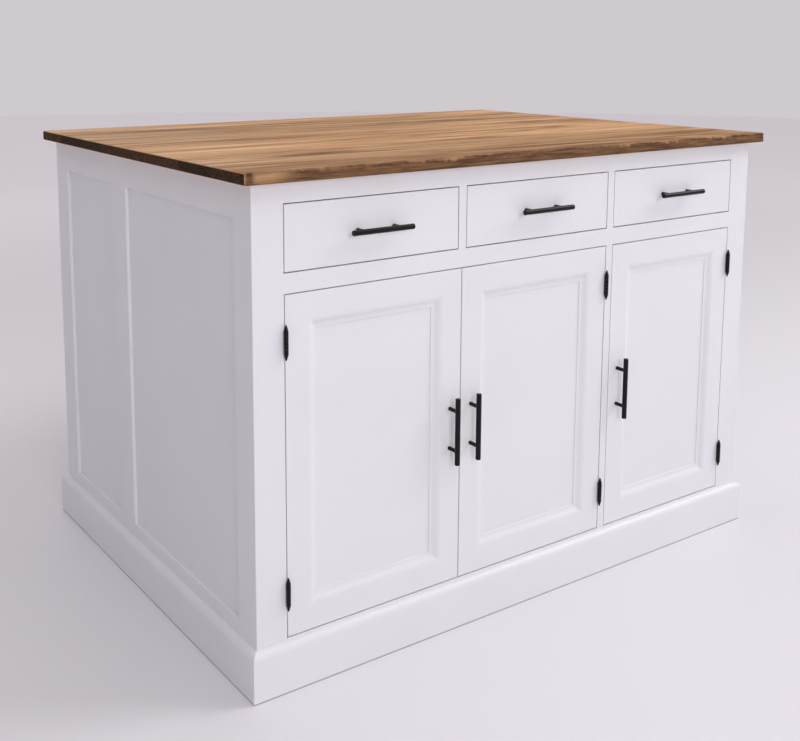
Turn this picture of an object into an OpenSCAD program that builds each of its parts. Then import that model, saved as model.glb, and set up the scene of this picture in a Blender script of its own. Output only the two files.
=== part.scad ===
// Painted kitchen island unit with a stave-built oak worktop.
// Three flush drawers over three flush frame-and-panel doors, framed ends and back, planted plinth.
// Sizes are in millimetres. +X is to the right, -Y is the front and +Z is up from the floor.

/* [Overall] */
// Width of the painted body
body_w = 1256; // [1050:1:1500]
// Depth of the painted body
body_d = 906; // [760:1:1000]
// Height from the floor to the top of the worktop
total_h = 900; // [850:1:960]
// Rounding of the body's upright corners
corner_r = 1.5; // [0.5:0.5:4]

/* [Worktop] */
// Thickness of the worktop
top_t = 20; // [18:1:40]
// Overhang of the worktop past the body, on every side
top_overhang = 22; // [18:1:40]
// Rounding of the worktop's edges
top_edge_r = 2.5; // [1:0.5:6]
// Number of staves glued side by side
stave_count = 8; // [5:1:10]
// Width of the glue line between two staves
glue_line = 0.1; // [0.05:0.05:0.3]
// Height of the battens that the worktop is screwed to
batten_h = 18; // [12:1:20]
// Width of the battens
batten_w = 40; // [30:1:60]

/* [Face frame] */
// Thickness of the face frame
face_t = 20; // [18:1:26]
// Width of the two outer stiles
face_stile_w = 59; // [45:1:80]
// Height of the top rail
face_top_rail_h = 36; // [30:1:60]
// Height of the rail between drawers and doors
face_mid_rail_h = 34; // [30:1:60]
// Height of the bottom rail
face_low_rail_h = 60; // [40:1:70]
// Width of the upright pieces between the drawers and between the doors
face_mullion_w = 17; // [16:1:40]
// Height of the cupboard floor and the top of the bottom rail
floor_z = 92; // [90:1:110]
// Open gap round each drawer and door
gap = 2; // [1.5:0.1:3]
// Length of the stub tenons of rails and mullions
tenon_l = 10; // [6:1:12]
// Thickness of the stub tenons
tenon_t = 8; // [5:1:10]
// Shoulder at the edges of a tenon
tenon_shoulder = 3; // [2:0.5:5]
// Spare depth at the bottom of a mortise
mortise_room = 0.5; // [0.2:0.1:1]

/* [Framed ends and back] */
// Thickness of the frames of the ends and the back
wall_t = 20; // [18:1:26]
// Depth from a frame's outer face to its panel
wall_recess = 6; // [3:0.5:8]
// Thickness of the panels of the ends and the back
wall_panel_t = 9; // [6:0.5:10]
// Depth of the grooves that hold the panels
wall_groove_d = 10; // [6:1:14]
// Bevel on the frame round each panel
wall_bevel = 2; // [0.5:0.5:3]
// Height of the top rail of a frame
wall_top_rail_h = 64; // [40:1:90]
// Height of the lower edge of the panels
wall_panel_z = 117; // [110:1:150]
// Height of the underside of the bottom rail
wall_rail_z = 32; // [20:1:50]
// Width of an end's front stile as it shows from the side, with the face frame's edge
end_front_stile_w = 64; // [55:1:90]
// Width of an end's front panel opening
end_front_panel_w = 448; // [350:1:500]
// Width of the stile between an end's two panels
end_muntin_w = 78; // [50:1:100]
// Width of an end's rear stile as it shows from the side, with the back frame's edge
end_rear_stile_w = 67; // [65:1:100]
// Width of the outer stiles of the back
back_stile_w = 71; // [50:1:100]
// Width of the stiles between the back's panels
back_muntin_w = 78; // [50:1:100]
// Number of panels in the back
back_bays = 3; // [2:1:4]
// Room left at the side and top edges of a panel in its grooves
panel_room = 1; // [0.5:0.5:2]

/* [Plinth] */
// Height of the plinth boards
plinth_h = 88; // [60:1:90]
// Thickness of the plinth boards
plinth_t = 13.4; // [10:0.2:16]
// Rounding of the plinth's upper outer edge
plinth_r = 12; // [8:0.5:13]

/* [Carcass boards] */
// Thickness of the cupboard floor, of the deck under the drawers and of the shelves
board_t = 18; // [15:1:22]
// Distance of a shelf's front edge behind the face frame
shelf_setback = 20; // [15:1:22]
// Height of a shelf's underside above the cupboard floor
shelf_rise = 289; // [200:1:380]
// Gap between a shelf's ends and the walls
shelf_gap = 1; // [0.5:0.5:2]
// Gap behind a shelf
shelf_back_gap = 6; // [3:1:8]
// Radius of the shelf pins
pin_r = 2.5; // [2:0.5:3]
// Length of a shelf pin in the wood
pin_in = 7; // [5:0.5:8]
// Length of a shelf pin under the shelf
pin_out = 9; // [6:1:12]
// Distance of the shelf pins from the shelf's front edge
pin_setback = 12; // [8:1:16]
// Distance of the rear shelf pins from the back frame
pin_rear = 32; // [28:1:34]

/* [Drawers] */
// Height of a drawer front
drawer_h = 112; // [100:1:150]
// Thickness of a drawer front
drawer_front_t = 20; // [18:1:24]
// Depth of a drawer, front to back
drawer_d = 450; // [350:1:520]
// Thickness of a drawer's sides
drawer_side_t = 14; // [12:1:16]
// Height of a drawer's sides
drawer_side_h = 92; // [84:1:94]
// Height of the sides' lower edge above the front's lower edge
drawer_side_z = 6; // [4:1:8]
// Thickness of a drawer's back
drawer_back_t = 12; // [10:1:15]
// Length of a side that runs on past the back
drawer_tail_l = 12; // [8:1:20]
// Drop of the back's upper edge below the sides
drawer_back_drop = 6; // [2:1:12]
// Thickness of a drawer's bottom
drawer_bottom_t = 6; // [4:0.5:8]
// Height of the bottom above the sides' lower edge
drawer_bottom_z = 7; // [6:1:10]
// Depth of the grooves that hold the bottom
drawer_slot_d = 6; // [4:0.5:6]
// Depth of the housings that hold the back
housing_d = 4; // [3:0.5:5]
// Length of the dovetails in the front
tail_l = 14; // [10:1:15]
// Width of a dovetail where it is narrow
tail_neck_w = 14; // [12:1:16]
// Spread of a dovetail from neck to end, on each side
tail_flare = 2.5; // [1.5:0.5:3]
// Number of dovetails at a corner
tail_count = 3; // [2:1:4]
// Rounding of the front edges of drawers and doors
front_edge_r = 0.8; // [0.4:0.2:2]

/* [Drawer runners] */
// Height of the hardwood runner strips
runner_h = 11; // [8:1:14]
// Depth of a runner strip's hold in the drawer side
runner_in = 6; // [4:0.5:6.5]
// Clearance of a runner strip in its groove
runner_clear = 0.4; // [0.3:0.1:0.6]
// Height of the runner strips' centre above the drawer front's lower edge
runner_z = 55; // [50:1:60]
// Distance of a runner strip's front end behind the face frame
runner_setback = 10; // [6:1:16]
// Length of the boards that carry the runner strips
runner_board_l = 470; // [440:1:560]

/* [Doors] */
// Thickness of the doors
door_t = 20; // [18:1:24]
// Width of the door stiles and rails with their moulding
door_member_w = 65; // [56:1:90]
// Width of the moulding
mould_w = 20; // [19:0.5:24]
// Depth of the small step that the moulding starts with
step_d = 0.3; // [0.2:0.1:0.5]
// Width of the round that follows the step
round_w = 8; // [7:0.5:9]
// Depth from the door's face to the end of the round
round_d = 2.8; // [2.2:0.2:3.2]
// Width of the hollow that follows
hollow_w = 8; // [7:0.5:9]
// Depth from the door's face to the bottom of the hollow
hollow_d = 6; // [5.4:0.2:6.4]
// Rounding of the moulding's inner edge
nose_r = 1.2; // [0.6:0.2:1.4]
// Depth from the door's face to its panel
door_recess = 8; // [7.4:0.2:9]
// Thickness of the door panels
door_panel_t = 6; // [4:0.5:7]
// Depth of the grooves that hold the door panels
door_groove_d = 10; // [6:1:12]

/* [Hinges] */
// Length of the hinge barrel
barrel_l = 38; // [34:1:60]
// Radius of the hinge barrel
barrel_r = 4; // [3.6:0.1:4.2]
// Radius of the hinge pin
hinge_pin_r = 2; // [1.5:0.1:2.4]
// Radial clearance of the pin in the door's knuckles
hinge_pin_clear = 0.05; // [0.03:0.01:0.09]
// Number of knuckles in a hinge, an odd number
knuckles = 5; // [3:2:7]
// Gap between two knuckles
knuckle_gap = 0.3; // [0.3:0.1:0.5]
// Distance of the pin in front of the doors' face
pin_proud = 4.6; // [4.6:0.1:6]
// Thickness of a hinge leaf
leaf_t = 1.5; // [1.5:0.1:2]
// Depth of a hinge leaf behind the door's face
leaf_d = 16; // [12:1:17]
// Gap between the two leaves of a closed hinge
leaf_gap = 0.5; // [0.4:0.1:0.7]
// Clearance between a leaf and the other leaf's knuckles
leaf_clear = 0.4; // [0.3:0.1:0.6]
// Distance of a hinge's middle from the door's top or bottom
hinge_inset = 79; // [60:1:120]
// Height of the finial at each end of a hinge
finial_h = 11.5; // [8:0.5:14]
// Radius of a finial's round tip
finial_r = 1.2; // [1:0.1:2.2]

/* [Handles] */
// Length of a handle bar
bar_l = 127; // [110:1:180]
// Radius of a handle bar
bar_r = 5; // [4:0.5:6]
// Rounding of the ends of a handle bar
bar_end_r = 1.2; // [0.5:0.1:2]
// Distance between the two posts of a handle
post_pitch = 76; // [64:1:96]
// Radius of the posts
post_r = 3.7; // [3:0.1:4.5]
// Distance from the face to the bar's axis
bar_reach = 24; // [22:1:36]
// Distance of a door handle's axis from the door's free edge
handle_inset = 24; // [20:1:35]
// Radius of the handle screws
screw_r = 2; // [1.5:0.1:2.2]
// Clearance round a handle screw in the wood
screw_clear = 0.2; // [0.1:0.05:0.3]
// Clearance round a handle screw in its post
thread_clear = 0.05; // [0.03:0.01:0.09]
// Depth of a handle screw in its post
screw_in = 12; // [8:1:16]
// Radius of a handle screw's head
screw_head_r = 4; // [3.5:0.1:5]
// Height of a handle screw's head
screw_head_h = 2.4; // [1.6:0.2:3]

/* [Magnetic catches] */
// Width of a catch
catch_w = 40; // [30:1:50]
// Depth of a catch
catch_d = 14; // [10:1:20]
// Height of a catch
catch_h = 12; // [10:1:16]
// Distance of a catch's middle from the door's free edge
catch_inset = 50; // [40:1:80]
// Gap between a catch and the closed door's plate
catch_gap = 0.5; // [0.3:0.1:1]
// Width of the plate on a door
strike_w = 24; // [16:1:30]
// Height of the plate on a door
strike_h = 8; // [6:1:9]
// Thickness of the plate on a door
strike_t = 1.5; // [1:0.1:2]
// Distance of the plate below the door's upper edge
strike_drop = 1; // [0.5:0.5:2]

/* [Hidden] */
past = 1;          // how far a cut runs past the face it opens
join = 1;          // how far two shapes of one piece run into each other
round_fn = 64;

// heights
body_h = total_h - top_t;
drawer_z = body_h - face_top_rail_h - gap - drawer_h;
mid_rail_z = drawer_z - gap - face_mid_rail_h;
door_z = floor_z + gap;
door_h = mid_rail_z - gap - door_z;
deck_top_z = mid_rail_z + board_t;
batten_z = body_h - batten_h;
shelf_z = floor_z + shelf_rise;

// widths
drawer_w = (body_w - 2 * face_stile_w - 2 * face_mullion_w - 6 * gap) / 3;
bay_pitch = drawer_w + 2 * gap + face_mullion_w;
right_stile_x = body_w - face_stile_w;
function drawer_x(i) = face_stile_w + gap + i * bay_pitch;
function mullion_x(i) = drawer_x(i) + drawer_w + gap;
pair_door_w = (mullion_x(1) - face_stile_w - 3 * gap) / 2;

// each door: left edge, width, and whether it hangs on its left (-1) or right (1) edge
DOORS = [
    [face_stile_w + gap, pair_door_w, -1],
    [face_stile_w + 2 * gap + pair_door_w, pair_door_w, 1],
    [drawer_x(2), drawer_w, 1]
];

// depths
inner_back_y = body_d - wall_t;
front_reach = max(top_overhang, bar_reach + bar_r);
front_y = -(body_d + top_overhang - front_reach) / 2;
inner_d = inner_back_y - face_t;

tenon_y = [(face_t - tenon_t) / 2, (face_t + tenon_t) / 2];
groove_y = [wall_recess, wall_recess + wall_panel_t];
door_groove_y = [door_recess, door_recess + door_panel_t];

// panel openings of the ends, along Y, and of the back, along X
END_BAYS = [
    [end_front_stile_w, end_front_stile_w + end_front_panel_w],
    [end_front_stile_w + end_front_panel_w + end_muntin_w, body_d - end_rear_stile_w]
];
back_bay_w = (body_w - 2 * back_stile_w - (back_bays - 1) * back_muntin_w) / back_bays;
BACK_BAYS = [for (i = [0:back_bays - 1])
    [back_stile_w + i * (back_bay_w + back_muntin_w),
     back_stile_w + i * (back_bay_w + back_muntin_w) + back_bay_w]];
wall_z = [wall_panel_z, body_h - wall_top_rail_h];

// colours
PAINT = "#e8e6ea";
OAK = "#a9784a";
PINE = "#d9bd8f";
BLACK = "#26262a";
STEEL = "#b8babd";

// ---- placing and drawing helpers ----

// Moves the body frame (left edge, face plane, floor) onto the part's own origin.
module placed() translate([-body_w / 2, front_y, 0]) children();

// A box between the two limits given for each axis.
module block(x, y, z) translate([x[0], y[0], z[0]]) cube([x[1] - x[0], y[1] - y[0], z[1] - z[0]]);

// Runs a 2D shape drawn in (z, y) along X.
module along_x(x) translate([x[1], 0, 0]) rotate([0, -90, 0]) linear_extrude(x[1] - x[0]) children();

// Runs a 2D shape drawn in (x, z) along Y.
module along_y(y) translate([0, y[1], 0]) rotate([90, 0, 0]) linear_extrude(y[1] - y[0]) children();

// Runs a 2D shape drawn in (x, y) along Z.
module along_z(z) translate([0, 0, z[0]]) linear_extrude(z[1] - z[0]) children();

// The sliver between a square corner at the origin and a quarter circle of radius r.
module corner_sliver(r) difference() {
    translate([-past, -past]) square(r + past);
    translate([r, r]) circle(r, $fn = round_fn);
}

// A rectangle with its two corners at y = 0 rounded.
module front_eased(w, d, r) difference() {
    square([w, d]);
    corner_sliver(r);
    translate([w, 0]) mirror([1, 0]) corner_sliver(r);
}

// A rectangle with all four corners rounded.
module eased(w, d, r) difference() {
    front_eased(w, d, r);
    translate([0, d]) mirror([0, 1]) corner_sliver(r);
    translate([w, d]) rotate(180) corner_sliver(r);
}

// A board with its front edges rounded, as tall as h.
module eased_board(w, t, h, r) intersection() {
    along_z([0, h]) front_eased(w, t, r);
    along_x([0, w]) front_eased(h, t, r);
}

// Keeps what lies inside the body's rounded plan.
module in_body_plan() intersection() {
    children();
    along_z([0, body_h]) eased(body_w, body_d, corner_r);
}

// Mirrors children from the left half of a piece w wide onto its right half.
module both_sides(w) {
    children();
    translate([w, 0, 0]) mirror([1, 0, 0]) children();
}

// ---- worktop ----

module worktop_blank() {
    w = body_w + 2 * top_overhang;
    d = body_d + 2 * top_overhang;
    translate([-top_overhang, -top_overhang, body_h]) intersection() {
        along_z([0, top_t]) eased(w, d, top_edge_r);
        along_x([0, w]) eased(top_t, d, top_edge_r);
        along_y([0, d]) eased(w, top_t, top_edge_r);
    }
}

module worktop() color(OAK) placed() {
    pitch = (body_d + 2 * top_overhang) / stave_count;
    difference() {
        worktop_blank();
        for (i = [1:stave_count - 1]) {
            y = -top_overhang + i * pitch;
            block([-top_overhang - past, body_w + top_overhang + past],
                [y - glue_line / 2, y + glue_line / 2], [body_h - past, total_h + past]);
        }
    }
}

module worktop_battens() color(PINE) placed()
    for (y = [face_t, (face_t + inner_back_y - batten_w) / 2, inner_back_y - batten_w])
        block([wall_t, body_w - wall_t], [y, y + batten_w], [batten_z, body_h]);

// ---- face frame ----

// A rail's tenons with the wood between them; room lengthens it into a mortise cutter.
module rail_core(z, room = 0)
    block([face_stile_w - tenon_l - room, right_stile_x + tenon_l + room], tenon_y,
        [z[0] + tenon_shoulder, z[1] - tenon_shoulder]);

// A mullion's tenons with the wood between them.
module mullion_core(x, z, room = 0)
    block([x + tenon_shoulder, x + face_mullion_w - tenon_shoulder], tenon_y,
        [z[0] - tenon_l - room, z[1] + tenon_l + room]);

top_rail_span = [body_h - face_top_rail_h, body_h];
mid_rail_span = [mid_rail_z, mid_rail_z + face_mid_rail_h];
low_rail_span = [floor_z - face_low_rail_h, floor_z];
drawer_opening_span = [mid_rail_span[1], top_rail_span[0]];
door_opening_span = [floor_z, mid_rail_z];

module mullion_mortises() {
    for (i = [0:1]) mullion_core(mullion_x(i), drawer_opening_span, mortise_room);
    mullion_core(mullion_x(1), door_opening_span, mortise_room);
}

module face_rail(z) difference() {
    union() {
        block([face_stile_w, right_stile_x], [0, face_t], z);
        rail_core(z);
    }
    mullion_mortises();
}

module face_stiles() color(PAINT) placed() difference() {
    in_body_plan() for (x = [0, right_stile_x])
        block([x, x + face_stile_w], [0, face_t], [0, body_h]);
    for (z = [top_rail_span, mid_rail_span, low_rail_span]) rail_core(z, mortise_room);
    hinge_mortises();
}

module face_rail_top() color(PAINT) placed() face_rail(top_rail_span);

module face_rail_middle() color(PAINT) placed() face_rail(mid_rail_span);

module face_rail_bottom() color(PAINT) placed() face_rail(low_rail_span);

module drawer_mullions() color(PAINT) placed() for (i = [0:1]) {
    block([mullion_x(i), mullion_x(i) + face_mullion_w], [0, face_t], drawer_opening_span);
    mullion_core(mullion_x(i), drawer_opening_span);
}

module door_mullion() color(PAINT) placed() difference() {
    union() {
        block([mullion_x(1), mullion_x(1) + face_mullion_w], [0, face_t], door_opening_span);
        mullion_core(mullion_x(1), door_opening_span);
    }
    hinge_mortises();
}

// ---- framed ends and back ----
// A wall is drawn with its outer face on the XZ plane, running along X and as deep as +Y,
// and is then stood at the two ends or at the rear of the body.

module on_both_ends() both_sides(body_w) mirror([1, 0, 0]) rotate([0, 0, 90]) children();

module on_back() translate([0, body_d, 0]) mirror([0, 1, 0]) children();

// The bevelled space in front of a panel, with its mitres in the corners.
module bevel_cut(u) intersection() {
    along_z([0, body_h]) bevel_section(u);
    along_x([u[0] - wall_groove_d, u[1] + wall_groove_d]) bevel_section(wall_z);
}

module bevel_section(u) polygon([
    [u[0] - wall_bevel - past, -past], [u[1] + wall_bevel + past, -past],
    [u[1], wall_bevel], [u[0], wall_bevel]]);

// Upright members between the openings, grooved along both edges.
module wall_stiles(span, bays) difference() {
    for (i = [0:len(bays)]) {
        u0 = i == 0 ? span[0] : bays[i - 1][1];
        u1 = i == len(bays) ? span[1] : bays[i][0];
        block([u0, u1], [0, wall_t], [0, body_h]);
    }
    for (u = bays) {
        block([u[0] - wall_groove_d, u[1] + wall_groove_d], groove_y, [wall_rail_z, body_h + past]);
        bevel_cut(u);
    }
}

// Top and bottom rails of every bay, with tongues in the stiles' grooves.
module wall_rails(bays) difference() {
    for (u = bays, z = [[wall_rail_z, wall_z[0]], [wall_z[1], body_h]]) {
        block(u, [0, wall_t], z);
        block([u[0] - wall_groove_d, u[1] + wall_groove_d], groove_y, z);
    }
    for (u = bays) {
        bevel_cut(u);
        block([u[0] - wall_groove_d - past, u[1] + wall_groove_d + past], groove_y,
            [wall_z[0] - wall_groove_d, wall_z[1] + wall_groove_d]);
    }
}

// Panels that stand in the bottom groove and have room at their other edges.
module wall_panels(bays) for (u = bays)
    block([u[0] - wall_groove_d + panel_room, u[1] + wall_groove_d - panel_room], groove_y,
        [wall_z[0] - wall_groove_d, wall_z[1] + wall_groove_d - panel_room]);

module end_stiles() color(PAINT) placed() difference() {
    on_both_ends() wall_stiles([face_t, inner_back_y], END_BAYS);
    shelf_pin_row([wall_t, body_w - wall_t]);
}

module end_rails() color(PAINT) placed() on_both_ends() wall_rails(END_BAYS);

module end_panels() color(PAINT) placed() on_both_ends() wall_panels(END_BAYS);

module back_stiles() color(PAINT) placed() in_body_plan() on_back()
    wall_stiles([0, body_w], BACK_BAYS);

module back_rails() color(PAINT) placed() on_back() wall_rails(BACK_BAYS);

module back_panels() color(PAINT) placed() on_back() wall_panels(BACK_BAYS);

// ---- plinth ----

// One board l long against the XZ plane, mitred past both ends, thickness towards -Y.
module plinth_board(l) intersection() {
    along_x([-plinth_t, l + plinth_t]) difference() {
        translate([0, -plinth_t]) square([plinth_h, plinth_t]);
        translate([plinth_h, -plinth_t]) mirror([1, 0]) corner_sliver(plinth_r);
    }
    along_z([0, plinth_h]) polygon([[-plinth_t, -plinth_t], [l + plinth_t, -plinth_t], [l, 0], [0, 0]]);
}

module plinth_front() color(PAINT) placed() plinth_board(body_w);

module plinth_back() color(PAINT) placed()
    translate([body_w, body_d, 0]) rotate([0, 0, 180]) plinth_board(body_w);

module plinth_sides() color(PAINT) placed() {
    translate([body_w, 0, 0]) rotate([0, 0, 90]) plinth_board(body_d);
    translate([0, body_d, 0]) rotate([0, 0, 270]) plinth_board(body_d);
}

// ---- carcass boards ----

module cupboard_floor() color(PAINT) placed()
    block([wall_t, body_w - wall_t], [face_t, inner_back_y], [floor_z - board_t, floor_z]);

module drawer_deck() color(PAINT) placed()
    block([wall_t, body_w - wall_t], [face_t, inner_back_y], [mid_rail_z, deck_top_z]);

module partition() color(PAINT) placed() difference() {
    block([mullion_x(1), mullion_x(1) + face_mullion_w], [face_t, inner_back_y], [floor_z, mid_rail_z]);
    shelf_pin_row([mullion_x(1), mullion_x(1) + face_mullion_w]);
}

module shelves() color(PAINT) placed()
    for (x = [[wall_t, mullion_x(1)], [mullion_x(1) + face_mullion_w, body_w - wall_t]])
        block([x[0] + shelf_gap, x[1] - shelf_gap],
            [face_t + shelf_setback, inner_back_y - shelf_back_gap], [shelf_z, shelf_z + board_t]);

// The part of each shelf pin that sits in the wood, at the walls whose faces are given.
module shelf_pin_row(faces)
    for (x = faces, y = [face_t + shelf_setback + pin_setback, inner_back_y - pin_rear])
        translate([x - pin_in, y, shelf_z - pin_r]) rotate([0, 90, 0])
            cylinder(r = pin_r, h = 2 * pin_in, $fn = round_fn);

// A shelf pin from a wall's face at x, pointing towards side s, with its hidden end in the wood.
module shelf_pin(x, s)
    for (y = [face_t + shelf_setback + pin_setback, inner_back_y - pin_rear])
        translate([x, y, shelf_z - pin_r]) rotate([0, 90 * s, 0]) translate([0, 0, -pin_in])
            cylinder(r = pin_r, h = pin_in + pin_out, $fn = round_fn);

module shelf_pins() color(STEEL) placed() {
    shelf_pin(wall_t, 1);
    shelf_pin(mullion_x(1), -1);
    shelf_pin(mullion_x(1) + face_mullion_w, 1);
    shelf_pin(body_w - wall_t, -1);
}

// ---- drawer runners ----

runner_board_y = [face_t, face_t + runner_board_l];
runner_mid_z = drawer_z + runner_z;
runner_front_y = face_t + runner_setback;

module runner_boards() color(PINE) placed() {
    both_sides(body_w) block([wall_t, face_stile_w], runner_board_y, [deck_top_z, batten_z]);
    for (i = [0:1])
        block([mullion_x(i), mullion_x(i) + face_mullion_w], runner_board_y, [deck_top_z, batten_z]);
}

module drawer_runners() color(OAK) placed() for (i = [0:2])
    translate([drawer_x(i), 0, 0]) both_sides(drawer_w)
        block([-gap, runner_in], [runner_front_y, runner_board_y[1]],
            [runner_mid_z - runner_h / 2, runner_mid_z + runner_h / 2]);

// ---- drawers ----
// Drawn from the front's lower left corner, with the front's face on the XZ plane.

module at_drawer(i) placed() translate([drawer_x(i), 0, drawer_z]) children();

drawer_back_y = drawer_d - drawer_tail_l - drawer_back_t;
drawer_slot_z = drawer_side_z + drawer_bottom_z;
drawer_side_top = drawer_side_z + drawer_side_h;

// The tails of a left side, each wide at its end inside the front.
module dovetails() {
    pitch = drawer_side_h / tail_count;
    for (i = [0:tail_count - 1]) {
        z = drawer_side_z + (i + 0.5) * pitch;
        neck = tail_neck_w / 2;
        along_x([0, drawer_side_t]) polygon([
            [z - neck, drawer_front_t + join], [z - neck, drawer_front_t],
            [z - neck - tail_flare, drawer_front_t - tail_l],
            [z + neck + tail_flare, drawer_front_t - tail_l],
            [z + neck, drawer_front_t], [z + neck, drawer_front_t + join]]);
    }
}

// The space of the bottom panel, which the front and sides are grooved for.
module drawer_bottom_space(rear_y)
    block([drawer_side_t - drawer_slot_d, drawer_w - drawer_side_t + drawer_slot_d],
        [drawer_front_t - drawer_slot_d, rear_y], [drawer_slot_z, drawer_slot_z + drawer_bottom_t]);

module drawer_back_board()
    block([drawer_side_t - housing_d, drawer_w - drawer_side_t + housing_d],
        [drawer_back_y, drawer_back_y + drawer_back_t],
        [drawer_slot_z + drawer_bottom_t, drawer_side_top - drawer_back_drop]);

module drawer_front(i) color(PAINT) at_drawer(i) difference() {
    eased_board(drawer_w, drawer_front_t, drawer_h, front_edge_r);
    both_sides(drawer_w) dovetails();
    drawer_bottom_space(drawer_front_t + past);
    translate([drawer_w / 2, 0, drawer_h / 2]) rotate([0, 90, 0]) screw_holes(drawer_front_t);
}

module drawer_sides(i) color(PINE) at_drawer(i) difference() {
    both_sides(drawer_w) difference() {
        union() {
            block([0, drawer_side_t], [drawer_front_t, drawer_d], [drawer_side_z, drawer_side_top]);
            dovetails();
        }
        block([-past, runner_in + runner_clear], [runner_front_y - runner_clear, drawer_d + past],
            [runner_z - runner_h / 2 - runner_clear, runner_z + runner_h / 2 + runner_clear]);
    }
    drawer_bottom_space(drawer_d + past);
    drawer_back_board();
}

module drawer_back(i) color(PINE) at_drawer(i) drawer_back_board();

module drawer_bottom(i) color(PINE) at_drawer(i)
    drawer_bottom_space(drawer_back_y + drawer_back_t);

module drawer_handle(i) color(BLACK) at_drawer(i)
    translate([drawer_w / 2, 0, drawer_h / 2]) rotate([0, 90, 0]) handle(drawer_front_t);

// ---- doors ----
// Drawn from the lower left corner, with the face on the XZ plane.

module at_door(i) placed() translate([DOORS[i][0], 0, door_z]) children();

function door_w(i) = DOORS[i][1];

// The hinge axis, and the distance d in from the door's free edge, both along the door's width.
function hinge_u(i) = DOORS[i][2] < 0 ? -gap / 2 : door_w(i) + gap / 2;
function from_free_edge(i, d) = DOORS[i][2] < 0 ? door_w(i) - d : d;

// Radius of an arc that is level at one end and drops by d over a width of w.
function drop_arc_r(w, d) = (w * w + d * d) / (2 * d);

// Section of a moulded and grooved member, from its outer edge at 0 to its inner edge:
// a flat, a small step, a round, a hollow and a narrow flat with a rounded edge.
module member_section() {
    round_x = door_member_w - mould_w;
    hollow_x = round_x + round_w;
    round_r = drop_arc_r(round_w, round_d - step_d);
    hollow_r = drop_arc_r(hollow_w, hollow_d - round_d);
    difference() {
        square([door_member_w, door_t]);
        difference() {
            translate([round_x, -past]) square([round_w, door_recess + past]);
            translate([round_x, step_d + round_r]) circle(round_r, $fn = round_fn);
        }
        intersection() {
            translate([hollow_x + hollow_w, hollow_d - hollow_r]) circle(hollow_r, $fn = round_fn);
            translate([hollow_x, -past]) square([mould_w, door_recess + past]);
        }
        translate([hollow_x + hollow_w, -past]) square([mould_w, hollow_d + past]);
        translate([door_member_w, hollow_d]) mirror([1, 0]) corner_sliver(nose_r);
        translate([door_member_w - door_groove_d, door_recess])
            square([door_groove_d + past, door_panel_t]);
    }
}

// Both stiles, full height, before they are cut for hinges and screws.
module stile_pair(w) both_sides(w) along_z([0, door_h]) member_section();

// Both rails, coped over the stiles' moulding and tongued into their grooves.
module rail_pair(w) difference() {
    for (top = [0, 1]) translate([0, 0, top * door_h]) mirror([0, 0, top])
        along_x([door_member_w - mould_w, w - door_member_w + mould_w]) member_section();
    stile_pair(w);
}

module door_stiles(i) color(PAINT) at_door(i) difference() {
    intersection() {
        stile_pair(door_w(i));
        eased_board(door_w(i), door_t, door_h, front_edge_r);
    }
    at_hinges(i) leaf_mortise(-DOORS[i][2]);
    translate([from_free_edge(i, handle_inset), 0, door_h / 2]) screw_holes(door_t);
}

module door_rails(i) color(PAINT) at_door(i) intersection() {
    rail_pair(door_w(i));
    eased_board(door_w(i), door_t, door_h, front_edge_r);
}

module door_panel(i) color(PAINT) at_door(i) {
    edge = door_member_w - door_groove_d;
    block([edge + panel_room, door_w(i) - edge - panel_room], door_groove_y,
        [edge, door_h - edge - panel_room]);
}

module door_handle(i) color(BLACK) at_door(i)
    translate([from_free_edge(i, handle_inset), 0, door_h / 2]) handle(door_t);

// ---- hinges ----
// A hinge is drawn with its pin on the Z axis, the door plane behind it at +Y.

module at_hinges(i) for (z = [hinge_inset, door_h - hinge_inset])
    translate([hinge_u(i), -pin_proud, z]) children();

knuckle_pitch = barrel_l / knuckles;
leaf_plate_y = [barrel_r + leaf_clear, pin_proud + leaf_d];

// One leaf to side s, with every second knuckle from the given first one.
module hinge_leaf(s, first) difference() {
    union() {
        scale_x(s) block([leaf_gap / 2, leaf_gap / 2 + leaf_t], leaf_plate_y,
            [-barrel_l / 2, barrel_l / 2]);
        for (k = [first:2:knuckles - 1]) {
            z0 = -barrel_l / 2 + k * knuckle_pitch + knuckle_gap / 2;
            z1 = z0 + knuckle_pitch - knuckle_gap;
            translate([0, 0, z0]) cylinder(r = barrel_r, h = z1 - z0, $fn = round_fn);
            scale_x(s) block([leaf_gap / 2, leaf_gap / 2 + leaf_t], [0, leaf_plate_y[0] + join], [z0, z1]);
        }
    }
    cylinder(r = hinge_pin_r + hinge_pin_clear, h = barrel_l + 2 * past, center = true, $fn = round_fn);
}

// Mirrors children to the left when s is -1.
module scale_x(s) mirror([s < 0 ? 1 : 0, 0, 0]) children();

// The shallow recess for a leaf in a door's or frame's edge on side s.
module leaf_mortise(s)
    scale_x(s) block([-gap, leaf_gap / 2 + leaf_t], [-past, leaf_plate_y[1]],
        [-barrel_l / 2, barrel_l / 2]);

module hinge_pin() {
    half = barrel_l / 2 - knuckle_gap / 2;
    cylinder(r = hinge_pin_r, h = 2 * half, center = true, $fn = round_fn);
    for (top = [0, 1]) mirror([0, 0, top]) translate([0, 0, half]) finial();
}

// A finial with a collar that sits on the end knuckle, a long cone and a round tip.
module finial() rotate_extrude($fn = round_fn) {
    polygon([[0, -join], [hinge_pin_r, -join], [hinge_pin_r, 0], [barrel_r, 0],
        [barrel_r, finial_h * 0.1], [finial_r, finial_h - finial_r], [0, finial_h - finial_r]]);
    intersection() {
        translate([0, finial_h - finial_r]) circle(finial_r, $fn = round_fn);
        square([finial_r, finial_h]);
    }
}

// The recesses of every frame leaf, in the face frame.
module hinge_mortises() for (i = [0:2])
    translate([DOORS[i][0], 0, door_z]) at_hinges(i) leaf_mortise(DOORS[i][2]);

module hinge_frame_leaves() color(BLACK) for (i = [0:2]) at_door(i) at_hinges(i)
    hinge_leaf(DOORS[i][2], 0);

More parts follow.
